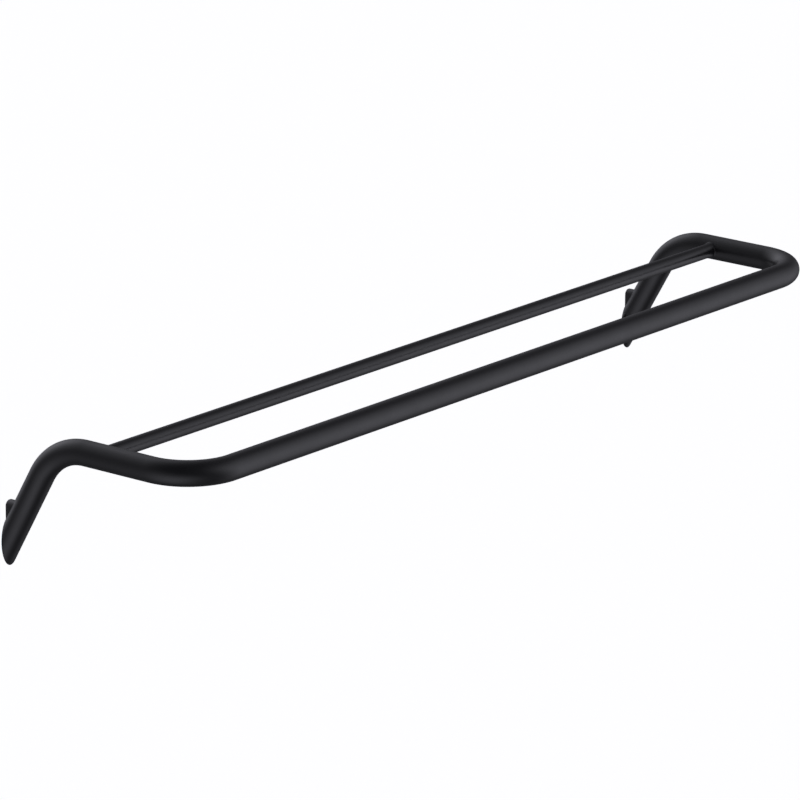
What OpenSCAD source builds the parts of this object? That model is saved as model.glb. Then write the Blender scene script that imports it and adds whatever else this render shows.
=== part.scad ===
// Wall-mounted coat and hanger rack.
// One bent steel tube makes the front rail, both arms and both legs; a thinner
// rail is welded between the arms. Each leg ends in a mouth cut flush with the
// wall, and a slot in its back hooks over a small block screwed to the wall.
//
// Frame: millimetres, +Z up, the wall is the plane Y = 0 and the rack stands
// out towards -Y. The origin is the centre of the four wall-screw holes.

/* [Frame tube] */
// Distance between the centrelines of the two arms
frame_w = 975; // [560:5:1200]
// Distance from the wall to the centreline of the front rail
frame_d = 231.5; // [215:0.5:300]
// Outside diameter of the bent tube
tube_d = 25; // [24.5:0.1:26]
// Wall thickness of the bent tube
tube_wall = 2; // [1.5:0.1:2.2]
// Centreline radius of the two front corners
corner_r = 52; // [40:1:60]
// Centreline radius of the bends from arm to leg
leg_r = 64; // [50:1:66]
// Angle of the legs below the horizontal
leg_angle = 60; // [59:0.5:61]
// Distance from the wall to the corner where arm and leg centrelines would meet
leg_set = 60.5; // [60:0.5:64]

/* [Rear rail] */
// Outside diameter of the rear rail
rail_d = 15; // [10:0.5:20]
// Wall thickness of the rear rail
rail_wall = 1.5; // [1:0.1:2.5]
// Distance from the wall to the centreline of the rear rail
rail_set = 114; // [112:0.5:140]
// Height of the rear rail's centreline above the arms' centreline
rail_rise = 0; // [0:0.5:4]

/* [Wall bracket] */
// Width of each bracket block
bracket_w = 12; // [11.5:0.5:12.5]
// Height of the bracket's neck above the centre of the leg's mouth
bracket_top = 40.3; // [39.5:0.1:41]
// Thickness of the lower part of the bracket, out from the wall
bracket_t = 9; // [8.5:0.1:9.2]
// Rounding of the neck's upper corners
neck_r = 5.5; // [2:0.5:5.5]
// Height of the hook's lip above the neck
lip_h = 7; // [5:0.5:7]
// Thickness of the hook's lip
lip_t = 3.4; // [3:0.1:4]
// Diameter of the wall-screw holes
screw_hole_d = 4.5; // [4:0.1:5]
// Distance between the two wall-screw holes of a bracket
screw_pitch = 18; // [17:0.5:18.5]

/* [Grub screw] */
// Thread diameter of the clamping screws
grub_d = 5; // [4:0.5:5]
// Length of the clamping screws
grub_l = 6; // [5:0.5:6]
// Outside diameter of the threaded bushes
bush_d = 7.5; // [7:0.1:8]

/* [Hidden] */
$fn = 96;
coat = [0.10, 0.10, 0.11];
zinc = [0.62, 0.63, 0.66];

// heights
mouth_z = -(bracket_top - 7.5 - screw_pitch/2);      // centre of the mouth
plane_z = mouth_z + leg_set*tan(leg_angle);          // centreline of arms and front rail
tube_r  = tube_d/2;
bore_r  = tube_r - tube_wall;
bend_t  = leg_r*tan(leg_angle/2);                    // tangent length of the leg bend
bend_y  = -(leg_set + bend_t);                       // where arm ends and bend begins

// distance n is measured square to the leg's axis, towards the wall
function y_at(n, z) = (n - cos(leg_angle)*(z - mouth_z))/sin(leg_angle);

neck_z = mouth_z + bracket_top;                      // top of the neck
lip_z  = neck_z + lip_h;                             // top of the lip
lip_n  = sqrt(bore_r*bore_r - bracket_w*bracket_w/4) - 0.25;
lip_n2 = lip_n - lip_t;
foot_z = mouth_z + 8.8;                              // underside of the bracket
clear  = 0.2;                                        // slot clearance at each side
seat_y = -6;                                         // where the wall screws' heads sit
grub_y = -5.2;
grub_z = mouth_z + 12.8;

// ---- tube path ------------------------------------------------------------
// ring that the tube is swept from
module ring(r, r_in) {
    difference() {
        circle(r = r);
        circle(r = r_in);
    }
}

// right half of the frame, from the middle of the front rail to past the wall
module half_tube() {
    // half of the front rail
    translate([0, -frame_d, plane_z]) rotate([0, 90, 0])
        linear_extrude(height = frame_w/2 - corner_r) ring(tube_r, bore_r);
    // front corner
    translate([frame_w/2 - corner_r, -(frame_d - corner_r), plane_z])
        rotate([0, 0, -90]) rotate_extrude(angle = 90)
            translate([corner_r, 0]) ring(tube_r, bore_r);
    // arm
    translate([frame_w/2, bend_y, plane_z]) rotate([90, 0, 0])
        linear_extrude(height = frame_d - corner_r + bend_y) ring(tube_r, bore_r);
    // bend down to the leg
    translate([frame_w/2, bend_y, plane_z - leg_r])
        rotate([0, -90, 0]) rotate_extrude(angle = leg_angle)
            translate([leg_r, 0]) ring(tube_r, bore_r);
    // leg, running past the wall
    translate([frame_w/2, 0, plane_z]) leg_stock() ring(tube_r, bore_r);
}

// an outline extruded along the leg; drawn on the plane X = 0
module leg_stock() {
    translate([0, bend_y + leg_r*sin(leg_angle), -leg_r + leg_r*cos(leg_angle)])
        rotate([-(90 + leg_angle), 0, 0])
            linear_extrude(height = leg_set/cos(leg_angle) - bend_t + 60) children();
}

module both_sides() {
    children();
    mirror([1, 0, 0]) children();
}

// upright outline with rounded upper corners, w wide, from z0 to z1
module arch(w, z0, z1, r) {
    translate([-w/2, z0]) square([w, z1 - r - z0]);
    translate([-w/2 + r, z0]) square([w - 2*r, z1 - z0]);
    for (s = [-1, 1]) translate([s*(w/2 - r), z1 - r]) circle(r = r);
}

// extrude an outline drawn in X and Z from Y = y0 out to Y = -y1
module out(y0, y1) {
    translate([0, -y0, 0]) rotate([90, 0, 0]) linear_extrude(height = y1 - y0) children();
}

// ---- frame ----------------------------------------------------------------
module frame_tube() {
    color(coat) difference() {
        both_sides() half_tube();
        // the mouths, cut flush with the wall
        translate([-frame_w, 0, plane_z - 400]) cube([2*frame_w, 200, 500]);
        both_sides() translate([frame_w/2, 0, 0]) {
            // slot that hooks over the wall bracket
            out(-1, -y_at(lip_n, neck_z) + 0.1)
                arch(bracket_w + 2*clear, mouth_z + 12.5, neck_z + 0.1, neck_r + clear);
            // seat of the threaded bush, in the side that faces the other leg
            translate([-(tube_r + 2), grub_y, grub_z]) rotate([0, 90, 0])
                cylinder(d = bush_d + 0.1, h = tube_r + 2 - bracket_w/2 - 0.6, $fn = 64);
        }
    }
}

// ---- rear rail ------------------------------------------------------------
module rear_rail() {
    color(coat) translate([0, -rail_set, plane_z + rail_rise]) difference() {
        rotate([0, 90, 0]) cylinder(d = rail_d, h = frame_w, center = true);
        rotate([0, 90, 0]) cylinder(d = rail_d - 2*rail_wall, h = frame_w, center = true);
        // ends coped to the arms
        for (s = [-1, 1]) translate([s*frame_w/2, 0, -rail_rise]) rotate([90, 0, 0])
            cylinder(r = tube_r + 0.02, h = 60, center = true);
    }
}

// ---- wall bracket, drawn on the plane X = 0 -------------------------------
module wall_bracket() {
    neck_y = y_at(lip_n, neck_z);
    knee_z = mouth_z + (lip_n2 + bracket_t*sin(leg_angle))/cos(leg_angle);
    color(coat) difference() {
        intersection() {
            // side profile: plate on the wall, neck and upturned lip
            rotate([90, 0, 90]) linear_extrude(height = bracket_w, center = true)
                polygon([[0, foot_z], [0, neck_z], [neck_y, neck_z],
                         [y_at(lip_n, lip_z), lip_z], [y_at(lip_n2, lip_z), lip_z],
                         [-bracket_t, knee_z], [-bracket_t, foot_z]]);
            // outline seen from the front
            union() {
                out(0, -neck_y) arch(bracket_w, foot_z, neck_z, neck_r);
                out(-neck_y, 40) arch(bracket_w, foot_z, lip_z, neck_r - 1);
            }
        }
        // wall-screw holes with counterbored head seats
        for (s = [-1, 1]) translate([0, 1, s*screw_pitch/2]) rotate([90, 0, 0]) {
            cylinder(d = screw_hole_d, h = 40, $fn = 64);
            translate([0, 0, 1 - seat_y]) cylinder(d = 8.6, h = 40, $fn = 64);
        }
    }
}

// ---- threaded bush and grub screw, drawn for the right leg ------------------
module thread_bush() {
    color(coat) difference() {
        intersection() {
            translate([-tube_r - 1, grub_y, grub_z]) rotate([0, 90, 0])
                cylinder(d = bush_d, h = tube_r + 1 - bracket_w/2 - 0.6, $fn = 64);
            translate([0, 0, plane_z]) leg_stock() circle(r = tube_r);
        }
        translate([-tube_r - 2, grub_y, grub_z]) rotate([0, 90, 0])
            cylinder(d = grub_d, h = tube_r, $fn = 64);
    }
}

module grub_screw() {
    color(zinc) difference() {
        translate([-bracket_w/2 - 0.05, grub_y, grub_z]) rotate([0, -90, 0]) {
            // cup point, body and lead-in chamfer
            cylinder(d1 = grub_d - 1.2, d2 = grub_d - 0.1, h = 0.5, $fn = 64);
            translate([0, 0, 0.5]) cylinder(d = grub_d - 0.1, h = grub_l - 0.9, $fn = 64);
            translate([0, 0, grub_l - 0.4])
                cylinder(d1 = grub_d - 0.1, d2 = grub_d - 0.9, h = 0.4, $fn = 64);
        }
        // hexagon socket
        translate([-bracket_w/2 - 0.05 - grub_l - 0.01, grub_y, grub_z]) rotate([0, 90, 0])
            cylinder(d = grub_d*0.5/cos(30), h = grub_l*0.45, $fn = 6);
    }
}

module at_right() { translate([frame_w/2, 0, 0]) children(); }
module at_left() { mirror([1, 0, 0]) translate([frame_w/2, 0, 0]) children(); }

frame_tube();
rear_rail();
at_left() wall_bracket();  // left_wall_bracket
at_right() wall_bracket();  // right_wall_bracket
at_left() thread_bush();  // left_thread_bush
at_right() thread_bush();  // right_thread_bush
at_left() grub_screw();  // left_grub_screw
at_right() grub_screw();  // right_grub_screw
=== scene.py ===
import math
import bpy
import bmesh
from mathutils import Matrix, Vector


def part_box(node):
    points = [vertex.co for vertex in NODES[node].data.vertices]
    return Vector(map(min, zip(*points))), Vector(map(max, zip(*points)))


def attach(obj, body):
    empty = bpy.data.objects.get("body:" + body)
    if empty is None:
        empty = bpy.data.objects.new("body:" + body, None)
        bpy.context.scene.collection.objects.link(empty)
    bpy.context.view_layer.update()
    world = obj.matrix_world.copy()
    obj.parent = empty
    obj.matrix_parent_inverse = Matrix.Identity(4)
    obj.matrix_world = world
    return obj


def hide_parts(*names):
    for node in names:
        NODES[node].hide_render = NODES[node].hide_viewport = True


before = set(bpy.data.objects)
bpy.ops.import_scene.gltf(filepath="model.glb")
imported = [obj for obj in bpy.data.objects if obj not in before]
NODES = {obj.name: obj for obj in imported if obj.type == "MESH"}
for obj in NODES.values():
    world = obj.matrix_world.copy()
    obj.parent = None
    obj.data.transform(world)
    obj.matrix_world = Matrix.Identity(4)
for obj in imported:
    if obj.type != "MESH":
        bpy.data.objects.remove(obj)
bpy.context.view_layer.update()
MM = 0.001

# ---------------------------------------------------------------------------
# Sizes, from the CAD frame
# ---------------------------------------------------------------------------
lo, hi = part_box("frame_tube")
R = 12.5 * MM                        # tube's outer radius
BORE = 10.5 * MM
HALF_W = hi.x - R                    # arm centreline
DEPTH = -(lo.y + R)                  # front rail centreline
PLANE_Z = hi.z - R                   # height of arms and front rail
CORNER_R = 52 * MM
LEG_R = 64 * MM
LEG_A = math.radians(60)
LEG_SET = 60.5 * MM
MOUTH_Z = PLANE_Z - LEG_SET * math.tan(LEG_A)
BEND_Y = -(LEG_SET + LEG_R * math.tan(LEG_A / 2))

rlo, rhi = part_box("rear_rail")
RAIL_R = (rhi.z - rlo.z) / 2
RAIL_Z = (rhi.z + rlo.z) / 2
RAIL_Y = (rhi.y + rlo.y) / 2

BR_W = 12 * MM
NECK_Z = MOUTH_Z + 40.3 * MM
NECK_R = 5.5 * MM
GRUB_Y = -5.2 * MM
GRUB_Z = MOUTH_Z + 12.8 * MM
PITCH = 18 * MM


def y_at(n, z):
    """Y of a point at height z whose distance from the leg's axis, towards the wall, is n."""
    return (n - math.cos(LEG_A) * (z - MOUTH_Z)) / math.sin(LEG_A)


# ---------------------------------------------------------------------------
# Mesh helpers
# ---------------------------------------------------------------------------
def link(name, me):
    o = bpy.data.objects.new(name, me)
    bpy.context.scene.collection.objects.link(o)
    return o


def from_bmesh(name, bm, smooth=True):
    bmesh.ops.recalc_face_normals(bm, faces=bm.faces)
    me = bpy.data.meshes.new(name)
    bm.to_mesh(me)
    bm.free()
    if smooth:
        for p in me.polygons:
            p.use_smooth = True
    return link(name, me)


def apply_all(o):
    """Freezes the object's modifiers into its mesh."""
    dg = bpy.context.evaluated_depsgraph_get()
    me = bpy.data.meshes.new_from_object(o.evaluated_get(dg))
    o.modifiers.clear()
    old = o.data
    o.data = me
    bpy.data.meshes.remove(old)
    return o


def cut(o, cutter, how="DIFFERENCE"):
    m = o.modifiers.new("cut", "BOOLEAN")
    m.operation = how
    m.solver = "EXACT"
    m.object = cutter
    apply_all(o)
    bpy.data.objects.remove(cutter, do_unlink=True)
    return o


def soften(o, width, segments=3, angle=32):
    """Rounds the sharp edges and gives clean shading."""
    m = o.modifiers.new("bevel", "BEVEL")
    m.width = width
    m.segments = segments
    m.limit_method = "ANGLE"
    m.angle_limit = math.radians(angle)
    m.harden_normals = False
    m.use_clamp_overlap = True
    m.miter_outer = "MITER_ARC"
    apply_all(o)
    for p in o.data.polygons:
        p.use_smooth = True
    return o


def mark_sharp(o, angle=40):
    """Keeps the shading crisp where faces meet at more than the angle."""
    o.data.set_sharp_from_angle(angle=math.radians(angle))


def ring_faces(bm, a, b):
    n = len(a)
    for i in range(n):
        j = (i + 1) % n
        bm.faces.new((a[i], a[j], b[j], b[i]))


def disc(bm, ring, flip=False):
    bm.faces.new(ring[::-1] if flip else ring)


def lathe(name, profile, n=64):
    """Closed solid of revolution about +Z from (radius, height) points; end points on the axis close it."""
    bm = bmesh.new()
    rings = []
    for r, z in profile:
        if r < 1e-9:
            rings.append([bm.verts.new((0, 0, z))])
        else:
            rings.append([bm.verts.new((r * math.cos(2 * math.pi * i / n), r * math.sin(2 * math.pi * i / n), z)) for i in range(n)])
    for a, b in zip(rings, rings[1:]):
        if len(a) == 1 and len(b) == 1:
            continue
        if len(a) == 1 or len(b) == 1:
            tip, other = (a[0], b) if len(a) == 1 else (b[0], a)
            for i in range(n):
                bm.faces.new((tip, other[i], other[(i + 1) % n]))
        else:
            ring_faces(bm, a, b)
    return from_bmesh(name, bm)


def prism(name, pts, h0, h1):
    """Solid between heights h0 and h1 along +Z over a polygon."""
    bm = bmesh.new()
    a = [bm.verts.new((x, y, h0)) for x, y in pts]
    b = [bm.verts.new((x, y, h1)) for x, y in pts]
    ring_faces(bm, a, b)
    disc(bm, a, True)
    disc(bm, b)
    return from_bmesh(name, bm, smooth=False)


def arch(w, z0, z1, r, steps=16):
    """Outline with rounded upper corners, as (x, z) points."""
    pts = [(-w / 2, z0), (w / 2, z0)]
    pts += [(w / 2 - r + r * math.cos(t * math.pi / 2 / steps), z1 - r + r * math.sin(t * math.pi / 2 / steps)) for t in range(steps + 1)]
    pts += [(-w / 2 + r - r * math.sin(t * math.pi / 2 / steps), z1 - r + r * math.cos(t * math.pi / 2 / steps)) for t in range(steps + 1)]
    return pts


def stand_up(o, y_near_wall):
    """A prism drawn in X and Z and extruded along its own +Z is turned so that it runs out from the wall."""
    o.data.transform(Matrix(((1, 0, 0, 0), (0, 0, -1, y_near_wall), (0, 1, 0, 0), (0, 0, 0, 1))))
    return o


def place(o, x=0.0, mirror=False):
    if mirror:
        o.data.transform(Matrix.Diagonal((-1, 1, 1, 1)))
        bm = bmesh.new()
        bm.from_mesh(o.data)
        bmesh.ops.reverse_faces(bm, faces=bm.faces)
        bm.to_mesh(o.data)
        bm.free()
    if x:
        o.data.transform(Matrix.Translation((x, 0, 0)))
    return o


# ---------------------------------------------------------------------------
# Frame tube
# ---------------------------------------------------------------------------
def tube_rings(radius, around=112):
    """Rings of the right half, from the middle of the front rail to the mouth on the wall."""
    rings = []

    def ring(c, side, up):
        rings.append([c + side * (radius * math.cos(2 * math.pi * k / around)) + up * (radius * math.sin(2 * math.pi * k / around)) for k in range(around)])

    z = Vector((0, 0, 1))
    x_end = HALF_W - CORNER_R
    for i in range(0, 25):
        ring(Vector((x_end * i / 24, -DEPTH, PLANE_Z)), Vector((0, -1, 0)), z)
    n = 44
    for i in range(1, n + 1):
        a = math.pi / 2 * i / n
        ring(Vector((x_end + CORNER_R * math.sin(a), -DEPTH + CORNER_R * (1 - math.cos(a)), PLANE_Z)), Vector((math.sin(a), -math.cos(a), 0)), z)
    y0 = -DEPTH + CORNER_R
    for i in range(1, 7):
        ring(Vector((HALF_W, y0 + (BEND_Y - y0) * i / 6, PLANE_Z)), Vector((1, 0, 0)), z)
    n = 40
    for i in range(1, n + 1):
        a = LEG_A * i / n
        ring(Vector((HALF_W, BEND_Y + LEG_R * math.sin(a), PLANE_Z - LEG_R * (1 - math.cos(a)))), Vector((1, 0, 0)), Vector((0, math.sin(a), math.cos(a))))
    last = rings[-1]
    d = Vector((0, math.cos(LEG_A), -math.sin(LEG_A)))
    for f in (0.2, 0.4, 0.6, 0.8, 0.93, 1.0):
        rings.append([p + d * (-p.y / d.y * f) for p in last])
    return rings


def make_frame_tube():
    bm = bmesh.new()
    mouths = []
    for radius in (R, BORE):
        half = tube_rings(radius)
        full = [[Vector((-p.x, p.y, p.z)) for p in r] for r in half[:0:-1]] + half
        vs = [[bm.verts.new(p) for p in r] for r in full]
        for a, b in zip(vs, vs[1:]):
            ring_faces(bm, a, b)
        mouths.append((vs[0], vs[-1]))
    for k in (0, 1):
        ring_faces(bm, mouths[0][k], mouths[1][k])
    o = from_bmesh("bent_tube", bm)
    clear = 0.2 * MM
    for s in (-1, 1):
        slot = prism("slot", arch(BR_W + 2 * clear, MOUTH_Z + 12.5 * MM, NECK_Z + 0.1 * MM, NECK_R + clear), -1 * MM, 14 * MM)
        stand_up(slot, 0)
        slot.data.transform(Matrix.Translation((s * HALF_W, 0, 0)))
        cut(o, slot)
        hole = lathe("hole", [(0, 0), (3.8 * MM, 0), (3.8 * MM, 7.9 * MM), (0, 7.9 * MM)], 48)
        # the bush sits in the side that faces the other leg
        hole.data.transform(Matrix.Translation((-s * -(-14.5 * MM) + s * HALF_W, GRUB_Y, GRUB_Z)) @ Matrix.Rotation(s * math.pi / 2, 4, "Y"))
        cut(o, hole)
    soften(o, 0.3 * MM, 3, 34)
    return o


# ---------------------------------------------------------------------------
# Rear rail, with the small weld fillets at its ends
# ---------------------------------------------------------------------------
def make_rear_rail(around=80):
    bm = bmesh.new()
    fil = 1.2 * MM

    def radius_and_x(step):
        """Steps 0..8 run round the fillet, out to the arm's surface."""
        a = step / 8 * math.pi / 2
        return RAIL_R + fil * (1 - math.cos(a)), fil * (1 - math.sin(a))

    half = []
    for step in range(8, -1, -1):
        rr, back = radius_and_x(step)
        ring = []
        for k in range(around):
            t = 2 * math.pi * k / around
            y = RAIL_Y + rr * math.cos(t)
            z = RAIL_Z + rr * math.sin(t)
            dz = z - PLANE_Z
            face = HALF_W - math.sqrt(max(R * R - dz * dz, 0)) + 0.03 * MM
            ring.append(Vector((face - back, y, z)))
        half.append(ring)
    x_end = half[-1][0].x - 4 * MM
    for i in range(0, 13):
        x = x_end * (1 - i / 12)
        half.append([Vector((x, RAIL_Y + RAIL_R * math.cos(2 * math.pi * k / around), RAIL_Z + RAIL_R * math.sin(2 * math.pi * k / around))) for k in range(around)])
    full = half + [[Vector((-p.x, p.y, p.z)) for p in r] for r in half[-2::-1]]
    vs = [[bm.verts.new(p) for p in r] for r in full]
    for a, b in zip(vs, vs[1:]):
        ring_faces(bm, a, b)
    disc(bm, vs[0])
    disc(bm, vs[-1], True)
    o = from_bmesh("welded_rear_rail", bm)
    mark_sharp(o, 50)
    return o


# ---------------------------------------------------------------------------
# Wall bracket
# ---------------------------------------------------------------------------
def make_bracket(name, side):
    lip_n = math.sqrt(BORE ** 2 - BR_W ** 2 / 4) - 0.25 * MM
    lip_n2 = lip_n - 3.4 * MM
    lip_z = NECK_Z + 7 * MM
    foot_z = MOUTH_Z + 8.8 * MM
    t = 9 * MM
    knee = MOUTH_Z + (lip_n2 + t * math.sin(LEG_A)) / math.cos(LEG_A)
    neck_y = y_at(lip_n, NECK_Z)
    pts = [(0, foot_z), (0, NECK_Z), (neck_y, NECK_Z), (y_at(lip_n, lip_z), lip_z), (y_at(lip_n2, lip_z), lip_z), (-t, knee), (-t, foot_z)]
    # profile drawn in (y, z), extruded along X
    o = prism(name, pts, -BR_W / 2, BR_W / 2)
    o.data.transform(Matrix(((0, 0, 1, 0), (1, 0, 0, 0), (0, 1, 0, 0), (0, 0, 0, 1))))
    env = prism("env", arch(BR_W * 1.0001, foot_z - 1 * MM, NECK_Z + 0.001 * MM, NECK_R), -1 * MM, -neck_y)
    stand_up(env, 0)
    env2 = prism("env2", arch(BR_W * 1.0001, foot_z - 1 * MM, lip_z + 0.001 * MM, NECK_R - 1 * MM), -neck_y - 0.0001 * MM, 40 * MM)
    stand_up(env2, 0)
    m = env.modifiers.new("join", "BOOLEAN")
    m.operation, m.solver, m.object = "UNION", "EXACT", env2
    apply_all(env)
    bpy.data.objects.remove(env2, do_unlink=True)
    cut(o, env, "INTERSECT")
    for z in (-PITCH / 2, PITCH / 2):
        drill = lathe("drill", [(0, -1 * MM), (2.25 * MM, -1 * MM), (2.25 * MM, 6 * MM), (4.3 * MM, 6 * MM), (4.3 * MM, 40 * MM), (0, 40 * MM)], 64)
        drill.data.transform(Matrix.Translation((0, 0, z)) @ Matrix.Rotation(math.pi / 2, 4, "X"))
        cut(o, drill)
    soften(o, 0.35 * MM, 3, 30)
    return place(o, HALF_W if side > 0 else -HALF_W)


# ---------------------------------------------------------------------------
# Threaded bush and grub screw
# ---------------------------------------------------------------------------
def make_bush(name, side):
    src = NODES["right_thread_bush" if side > 0 else "left_thread_bush"]
    o = link(name, src.data.copy())
    o.data.materials.clear()
    bm = bmesh.new()
    bm.from_mesh(o.data)
    bmesh.ops.remove_doubles(bm, verts=bm.verts, dist=1e-6)
    bmesh.ops.dissolve_limit(bm, angle_limit=math.radians(0.6), verts=bm.verts, edges=bm.edges)
    bm.to_mesh(o.data)
    bm.free()
    soften(o, 0.15 * MM, 2, 40)
    mark_sharp(o, 40)
    return o


def make_grub(name, side):
    """Socket screw with a real helical thread, drawn along +Z with its cup point at z = 0."""
    r, depth, pitch, length, n = 2.45 * MM, 0.3 * MM, 0.8 * MM, 6 * MM, 48
    rows_per_turn = 8
    rows = int(length / pitch * rows_per_turn)
    bm = bmesh.new()
    rings = []
    for i in range(rows + 1):
        z = length * i / rows
        ring = []
        for k in range(n):
            a = k / n
            ph = (z / pitch - a) % 1.0
            v = abs(ph - 0.5) * 2                       # triangular flank, 1 at the crest
            v = min(1.0, max(0.0, (v - 0.12) / 0.76))
            rad = r - depth * (1 - v)
            lead = min(z, length - z)
            rad = min(rad, r - 0.55 * MM + lead * 1.1)   # chamfered ends
            ring.append(bm.verts.new((rad * math.cos(2 * math.pi * a), rad * math.sin(2 * math.pi * a), z)))
        rings.append(ring)
    for a, b in zip(rings, rings[1:]):
        ring_faces(bm, a, b)
    cup = [bm.verts.new((v.co.x * 0.62, v.co.y * 0.62, 0.0)) for v in rings[0]]
    ring_faces(bm, rings[0], cup)
    tip = bm.verts.new((0, 0, 0.45 * MM))
    for k in range(n):
        bm.faces.new((cup[k], cup[(k + 1) % n], tip))
    disc(bm, rings[-1])
    o = from_bmesh(name, bm)
    key = lathe("key", [(0, length - 2.7 * MM), (2.5 * MM / 2 / math.cos(math.pi / 6), length - 2.3 * MM),
                        (2.5 * MM / 2 / math.cos(math.pi / 6), length + 1 * MM), (0, length + 1 * MM)], 6)
    cut(o, key)
    mark_sharp(o, 35)
    # tip 0.05 mm clear of the bracket, head towards the middle of the rack
    x = side * (HALF_W - BR_W / 2 - 0.05 * MM)
    o.data.transform(Matrix.Translation((x, GRUB_Y, GRUB_Z)) @ Matrix.Rotation(-side * math.pi / 2, 4, "Y"))
    return o


# ---------------------------------------------------------------------------
# Materials
# ---------------------------------------------------------------------------
class Nodes:
    def __init__(self, name):
        self.mat = bpy.data.materials.new(name)
        self.mat.use_nodes = True
        self.t = self.mat.node_tree
        self.t.nodes.clear()
        self.out = self.add("ShaderNodeOutputMaterial")
        self.bsdf = self.add("ShaderNodeBsdfPrincipled")
        self.t.links.new(self.bsdf.outputs[0], self.out.inputs[0])
        self.coord = self.add("ShaderNodeTexCoord").outputs["Object"]

    def add(self, kind, **values):
        n = self.t.nodes.new(kind)
        for k, v in values.items():
            setattr(n, k, v)
        return n

    def link(self, a, b):
        self.t.links.new(a, b)

    def noise(self, scale, detail=2.0, rough=0.5, distortion=0.0, coord=None, stretch=None):
        n = self.add("ShaderNodeTexNoise")
        n.inputs["Scale"].default_value = scale
        n.inputs["Detail"].default_value = detail
        n.inputs["Roughness"].default_value = rough
        n.inputs["Distortion"].default_value = distortion
        src = coord or self.coord
        if stretch:
            m = self.add("ShaderNodeMapping")
            m.inputs["Scale"].default_value = stretch
            self.link(src, m.inputs["Vector"])
            src = m.outputs[0]
        self.link(src, n.inputs["Vector"])
        return n.outputs["Fac"]

    def remap(self, value, a, b, c, d, smooth=False):
        n = self.add("ShaderNodeMapRange")
        if smooth:
            n.interpolation_type = "SMOOTHSTEP"
        for i, v in enumerate((a, b, c, d)):
            n.inputs[i + 1].default_value = v
        self.link(value, n.inputs[0])
        return n.outputs[0]

    def math(self, op, a, b):
        n = self.add("ShaderNodeMath", operation=op)
        for i, v in enumerate((a, b)):
            if isinstance(v, (int, float)):
                n.inputs[i].default_value = v
            else:
                self.link(v, n.inputs[i])
        return n.outputs[0]

    def mix(self, fac, a, b):
        n = self.add("ShaderNodeMix", data_type="RGBA")
        if isinstance(fac, (int, float)):
            n.inputs[0].default_value = fac
        else:
            self.link(fac, n.inputs[0])
        for i, v in ((6, a), (7, b)):
            if isinstance(v, (tuple, list)):
                n.inputs[i].default_value = tuple(v) + (1.0,) if len(v) == 3 else v
            else:
                self.link(v, n.inputs[i])
        return n.outputs[2]

    def bump(self, height, strength, distance, normal=None):
        n = self.add("ShaderNodeBump")
        n.inputs["Strength"].default_value = strength
        n.inputs["Distance"].default_value = distance
        self.link(height, n.inputs["Height"])
        if normal is not None:
            self.link(normal, n.inputs["Normal"])
        return n.outputs[0]


DARK = (0.0068, 0.0066, 0.0080)
LIGHT = (0.0108, 0.0106, 0.0124)
# lighter tone for worn edges, and also for the painted highlight on the upper side of the tubes
WORN_AND_SHEEN = (0.027, 0.027, 0.029)


def powder_coat(name, rails=False):
    m = Nodes(name)
    # slow drift in the coat's depth, and the fine speckle of its pigment
    drift = m.remap(m.noise(9.0, 3.0, 0.55), 0.32, 0.68, 0.0, 1.0, True)
    speck = m.remap(m.noise(2600.0, 2.0, 0.6), 0.35, 0.65, 0.0, 1.0)
    tone = m.mix(drift, DARK, LIGHT)
    tone = m.mix(m.math("MULTIPLY", speck, 0.30), tone, (0.0150, 0.0146, 0.0168))
    # edges and corners rub a little lighter
    geo = m.add("ShaderNodeNewGeometry")
    edge = m.remap(geo.outputs["Pointiness"], 0.53, 0.60, 0.0, 0.55, True)
    edge = m.math("MULTIPLY", edge, m.remap(m.noise(420.0, 3.0, 0.6), 0.42, 0.62, 0.0, 1.0))
    tone = m.mix(edge, tone, WORN_AND_SHEEN)
    rough = m.remap(m.noise(55.0, 3.0, 0.6), 0.3, 0.7, 0.315, 0.375)
    rough = m.math("ADD", rough, m.remap(speck, 0.0, 1.0, -0.035, 0.035))
    if rails:
        # the upper side of the tubes: the roughness is lowered in short strokes, as polished by hooks and hangers, and
        # the same strokes are painted lighter as a painted highlight
        up = m.add("ShaderNodeSeparateXYZ")
        m.link(geo.outputs["Normal"], up.inputs[0])
        top = m.remap(up.outputs[2], 0.78, 0.98, 0.0, 1.0, True)
        strokes = m.remap(m.noise(1.0, 4.0, 0.62, 0.0, stretch=(620.0, 26.0, 26.0)), 0.52, 0.66, 0.0, 1.0, True)
        patch = m.remap(m.noise(13.0, 2.0, 0.5), 0.46, 0.64, 0.0, 1.0, True)
        painted_top_highlight = m.math("MULTIPLY", m.math("MULTIPLY", top, strokes), patch)
        # painted highlight: the upper side of the tubes is mixed towards the lighter tone
        tone = m.mix(m.math("MULTIPLY", painted_top_highlight, 0.28), tone, WORN_AND_SHEEN)
        rough = m.math("SUBTRACT", rough, m.math("MULTIPLY", painted_top_highlight, 0.06))
    m.link(tone, m.bsdf.inputs["Base Color"])
    m.link(rough, m.bsdf.inputs["Roughness"])
    m.bsdf.inputs["IOR"].default_value = 1.5
    m.bsdf.inputs["Specular IOR Level"].default_value = 0.5
    # orange peel, and over it the coat's fine grain
    n = m.bump(m.noise(520.0, 2.0, 0.5), 0.30, 0.00006)
    n = m.bump(m.noise(2400.0, 3.0, 0.6), 0.40, 0.00002, n)
    m.link(n, m.bsdf.inputs["Normal"])
    return m.mat


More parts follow.
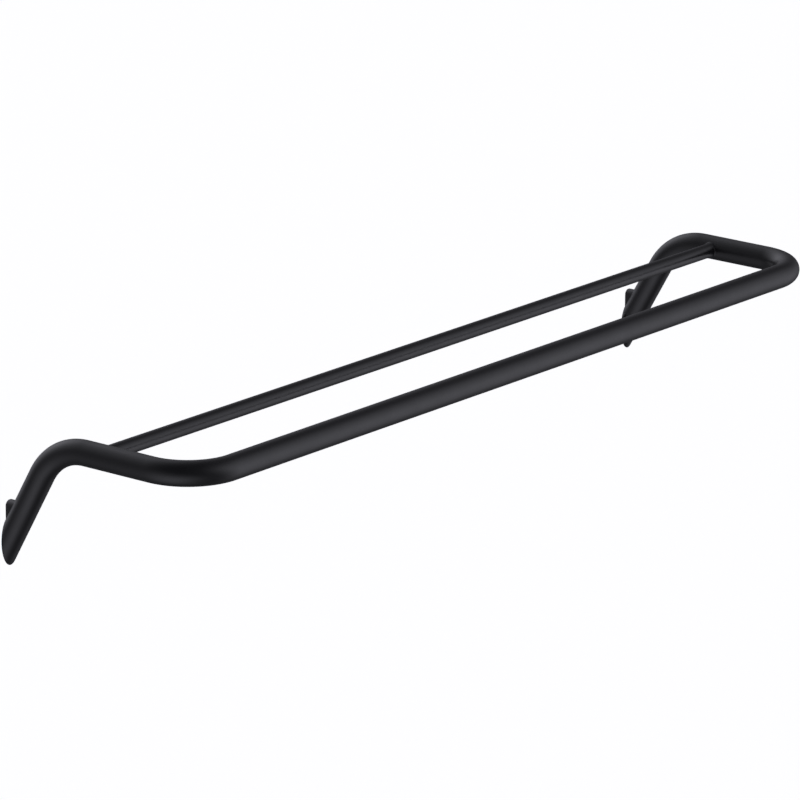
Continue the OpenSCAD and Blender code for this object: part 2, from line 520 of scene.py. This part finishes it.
def black_oxide(name):
    m = Nodes(name)
    tone = m.mix(m.remap(m.noise(900.0, 3.0, 0.6), 0.35, 0.65, 0.0, 1.0), (0.020, 0.020, 0.022), (0.045, 0.043, 0.044))
    geo = m.add("ShaderNodeNewGeometry")
    edge = m.remap(geo.outputs["Pointiness"], 0.52, 0.58, 0.0, 0.8, True)
    tone = m.mix(edge, tone, (0.16, 0.155, 0.15))
    m.link(tone, m.bsdf.inputs["Base Color"])
    m.bsdf.inputs["Metallic"].default_value = 0.85
    m.link(m.remap(m.noise(1500.0, 2.0, 0.5), 0.3, 0.7, 0.34, 0.48), m.bsdf.inputs["Roughness"])
    n = m.bump(m.noise(3500.0, 3.0, 0.6), 0.35, 0.00002)
    m.link(n, m.bsdf.inputs["Normal"])
    return m.mat


def plain(name, color, rough=0.9, glow=0.0):
    m = Nodes(name)
    m.bsdf.inputs["Base Color"].default_value = (*color, 1)
    m.bsdf.inputs["Roughness"].default_value = rough
    if glow:
        m.bsdf.inputs["Emission Color"].default_value = (*color, 1)
        m.bsdf.inputs["Emission Strength"].default_value = glow
    return m.mat


# ---------------------------------------------------------------------------
# The object
# ---------------------------------------------------------------------------
coat = powder_coat("powder_coat_tube", rails=True)
coat_small = powder_coat("powder_coat_bracket")
coat_bush = powder_coat("powder_coat_bush")
oxide = black_oxide("black_oxide_steel")

tube = make_frame_tube()
tube.data.materials.clear()
tube.data.materials.append(coat)
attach(tube, "frame")
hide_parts("frame_tube")

rail = make_rear_rail()
rail.data.materials.append(coat)
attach(rail, "frame")
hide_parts("rear_rail")

for side, word in ((-1, "left"), (1, "right")):
    b = make_bracket(word + "_bracket_block", side)
    b.data.materials.clear()
    b.data.materials.append(coat_small)
    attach(b, "brackets")
    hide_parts(word + "_wall_bracket")

    u = make_bush(word + "_bush", side)
    u.data.materials.append(coat_bush)
    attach(u, "frame")
    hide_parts(word + "_thread_bush")

    g = make_grub(word + "_socket_screw", side)
    g.data.materials.append(oxide)
    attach(g, word + "_screw")
    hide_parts(word + "_grub_screw")

for o in NODES.values():
    o.data.materials.clear()
    o.data.materials.append(coat)

# ---------------------------------------------------------------------------
# Stage, light and camera
# ---------------------------------------------------------------------------
bm = bmesh.new()
bmesh.ops.create_grid(bm, x_segments=1, y_segments=1, size=90)
floor = from_bmesh("floor", bm, smooth=False)
floor.location = (0, 0, -6)
floor.data.materials.append(plain("pale_floor", (0.90, 0.90, 0.90), 0.95, 0.80))
# the dome lights the rack from below as well, as a white light table does
floor.visible_glossy = False
floor.visible_diffuse = False

scene = bpy.context.scene
scene.view_settings.view_transform = "Standard"
scene.view_settings.look = "None"

# A studio dome: a dim even fill, and soft round sources as (direction, strength)
FILL = 0.070
SOFT = [
    (0.72, -0.53, -0.45, 0.653),
    (-0.89, 0.00, -0.45, 0.478),
    (0.28, -0.85, 0.45, 0.609),
    (0.28, 0.85, 0.45, 0.882),
    (-0.53, 0.00, -0.85, 0.620),
    (-0.69, -0.50, -0.53, 0.559),
    (-0.69, 0.50, -0.53, 0.168),
    (0.95, -0.31, 0.00, 0.397),
    (0.59, -0.81, 0.00, 0.907),
    (-0.95, 0.31, 0.00, 0.187),
    (0.00, 1.00, 0.00, 0.461),
    (0.69, -0.50, 0.53, 0.443),
    (-0.26, 0.81, 0.53, 0.403),
    (0.16, 0.50, 0.85, 0.166),
]
world = bpy.data.worlds.new("studio")
scene.world = world
world.use_nodes = True
wt = world.node_tree
wt.nodes.clear()
wo = wt.nodes.new("ShaderNodeOutputWorld")
bg = wt.nodes.new("ShaderNodeBackground")
tc = wt.nodes.new("ShaderNodeTexCoord")


def world_math(op, a, b=0.0):
    n = wt.nodes.new("ShaderNodeMath")
    n.operation = op
    for i, v in enumerate((a, b)):
        if isinstance(v, (int, float)):
            n.inputs[i].default_value = v
        else:
            wt.links.new(v, n.inputs[i])
    return n.outputs[0]


total = FILL
for x, y, z, strength in SOFT:
    dot = wt.nodes.new("ShaderNodeVectorMath")
    dot.operation = "DOT_PRODUCT"
    wt.links.new(tc.outputs["Generated"], dot.inputs[0])
    dot.inputs[1].default_value = Vector((x, y, z)).normalized()
    falloff = world_math("EXPONENT", world_math("MULTIPLY", world_math("SUBTRACT", dot.outputs["Value"], 1.0), 12.0))
    total = world_math("ADD", world_math("MULTIPLY", falloff, strength), total)
# past the floor's edge the camera sees the same pale tone
seen = wt.nodes.new("ShaderNodeLightPath").outputs["Is Camera Ray"]
total = world_math("ADD", world_math("MULTIPLY", total, world_math("SUBTRACT", 1.0, seen)), seen)
wt.links.new(total, bg.inputs[1])
bg.inputs[0].default_value = (0.985, 0.985, 1.085, 1)
wt.links.new(bg.outputs[0], wo.inputs[0])

cam = bpy.data.cameras.new("camera")
cam.lens = 268.39
cam.sensor_width = 36.0
cam.clip_end = 200
co = bpy.data.objects.new("camera", cam)
scene.collection.objects.link(co)
az, el, roll = math.radians(-51.359), math.radians(16.132), math.radians(0.280)
back = Vector((math.sin(az) * math.cos(el), -math.cos(az) * math.cos(el), math.sin(el)))
target = Vector((0, -0.117, -0.0195 + PLANE_Z))
co.location = target + back * 5.9245
fwd = -back
right = fwd.cross(Vector((0, 0, 1))).normalized()
up = right.cross(fwd).normalized()
right, up = right * math.cos(roll) + up * math.sin(roll), up * math.cos(roll) - right * math.sin(roll)
aim = (fwd + right * (-28.68 / 5964.2) + up * (-34.80 / 5964.2)).normalized()
right = aim.cross(up).normalized()
up = right.cross(aim).normalized()
co.rotation_euler = Matrix((right, up, -aim)).transposed().to_euler()
scene.camera = co
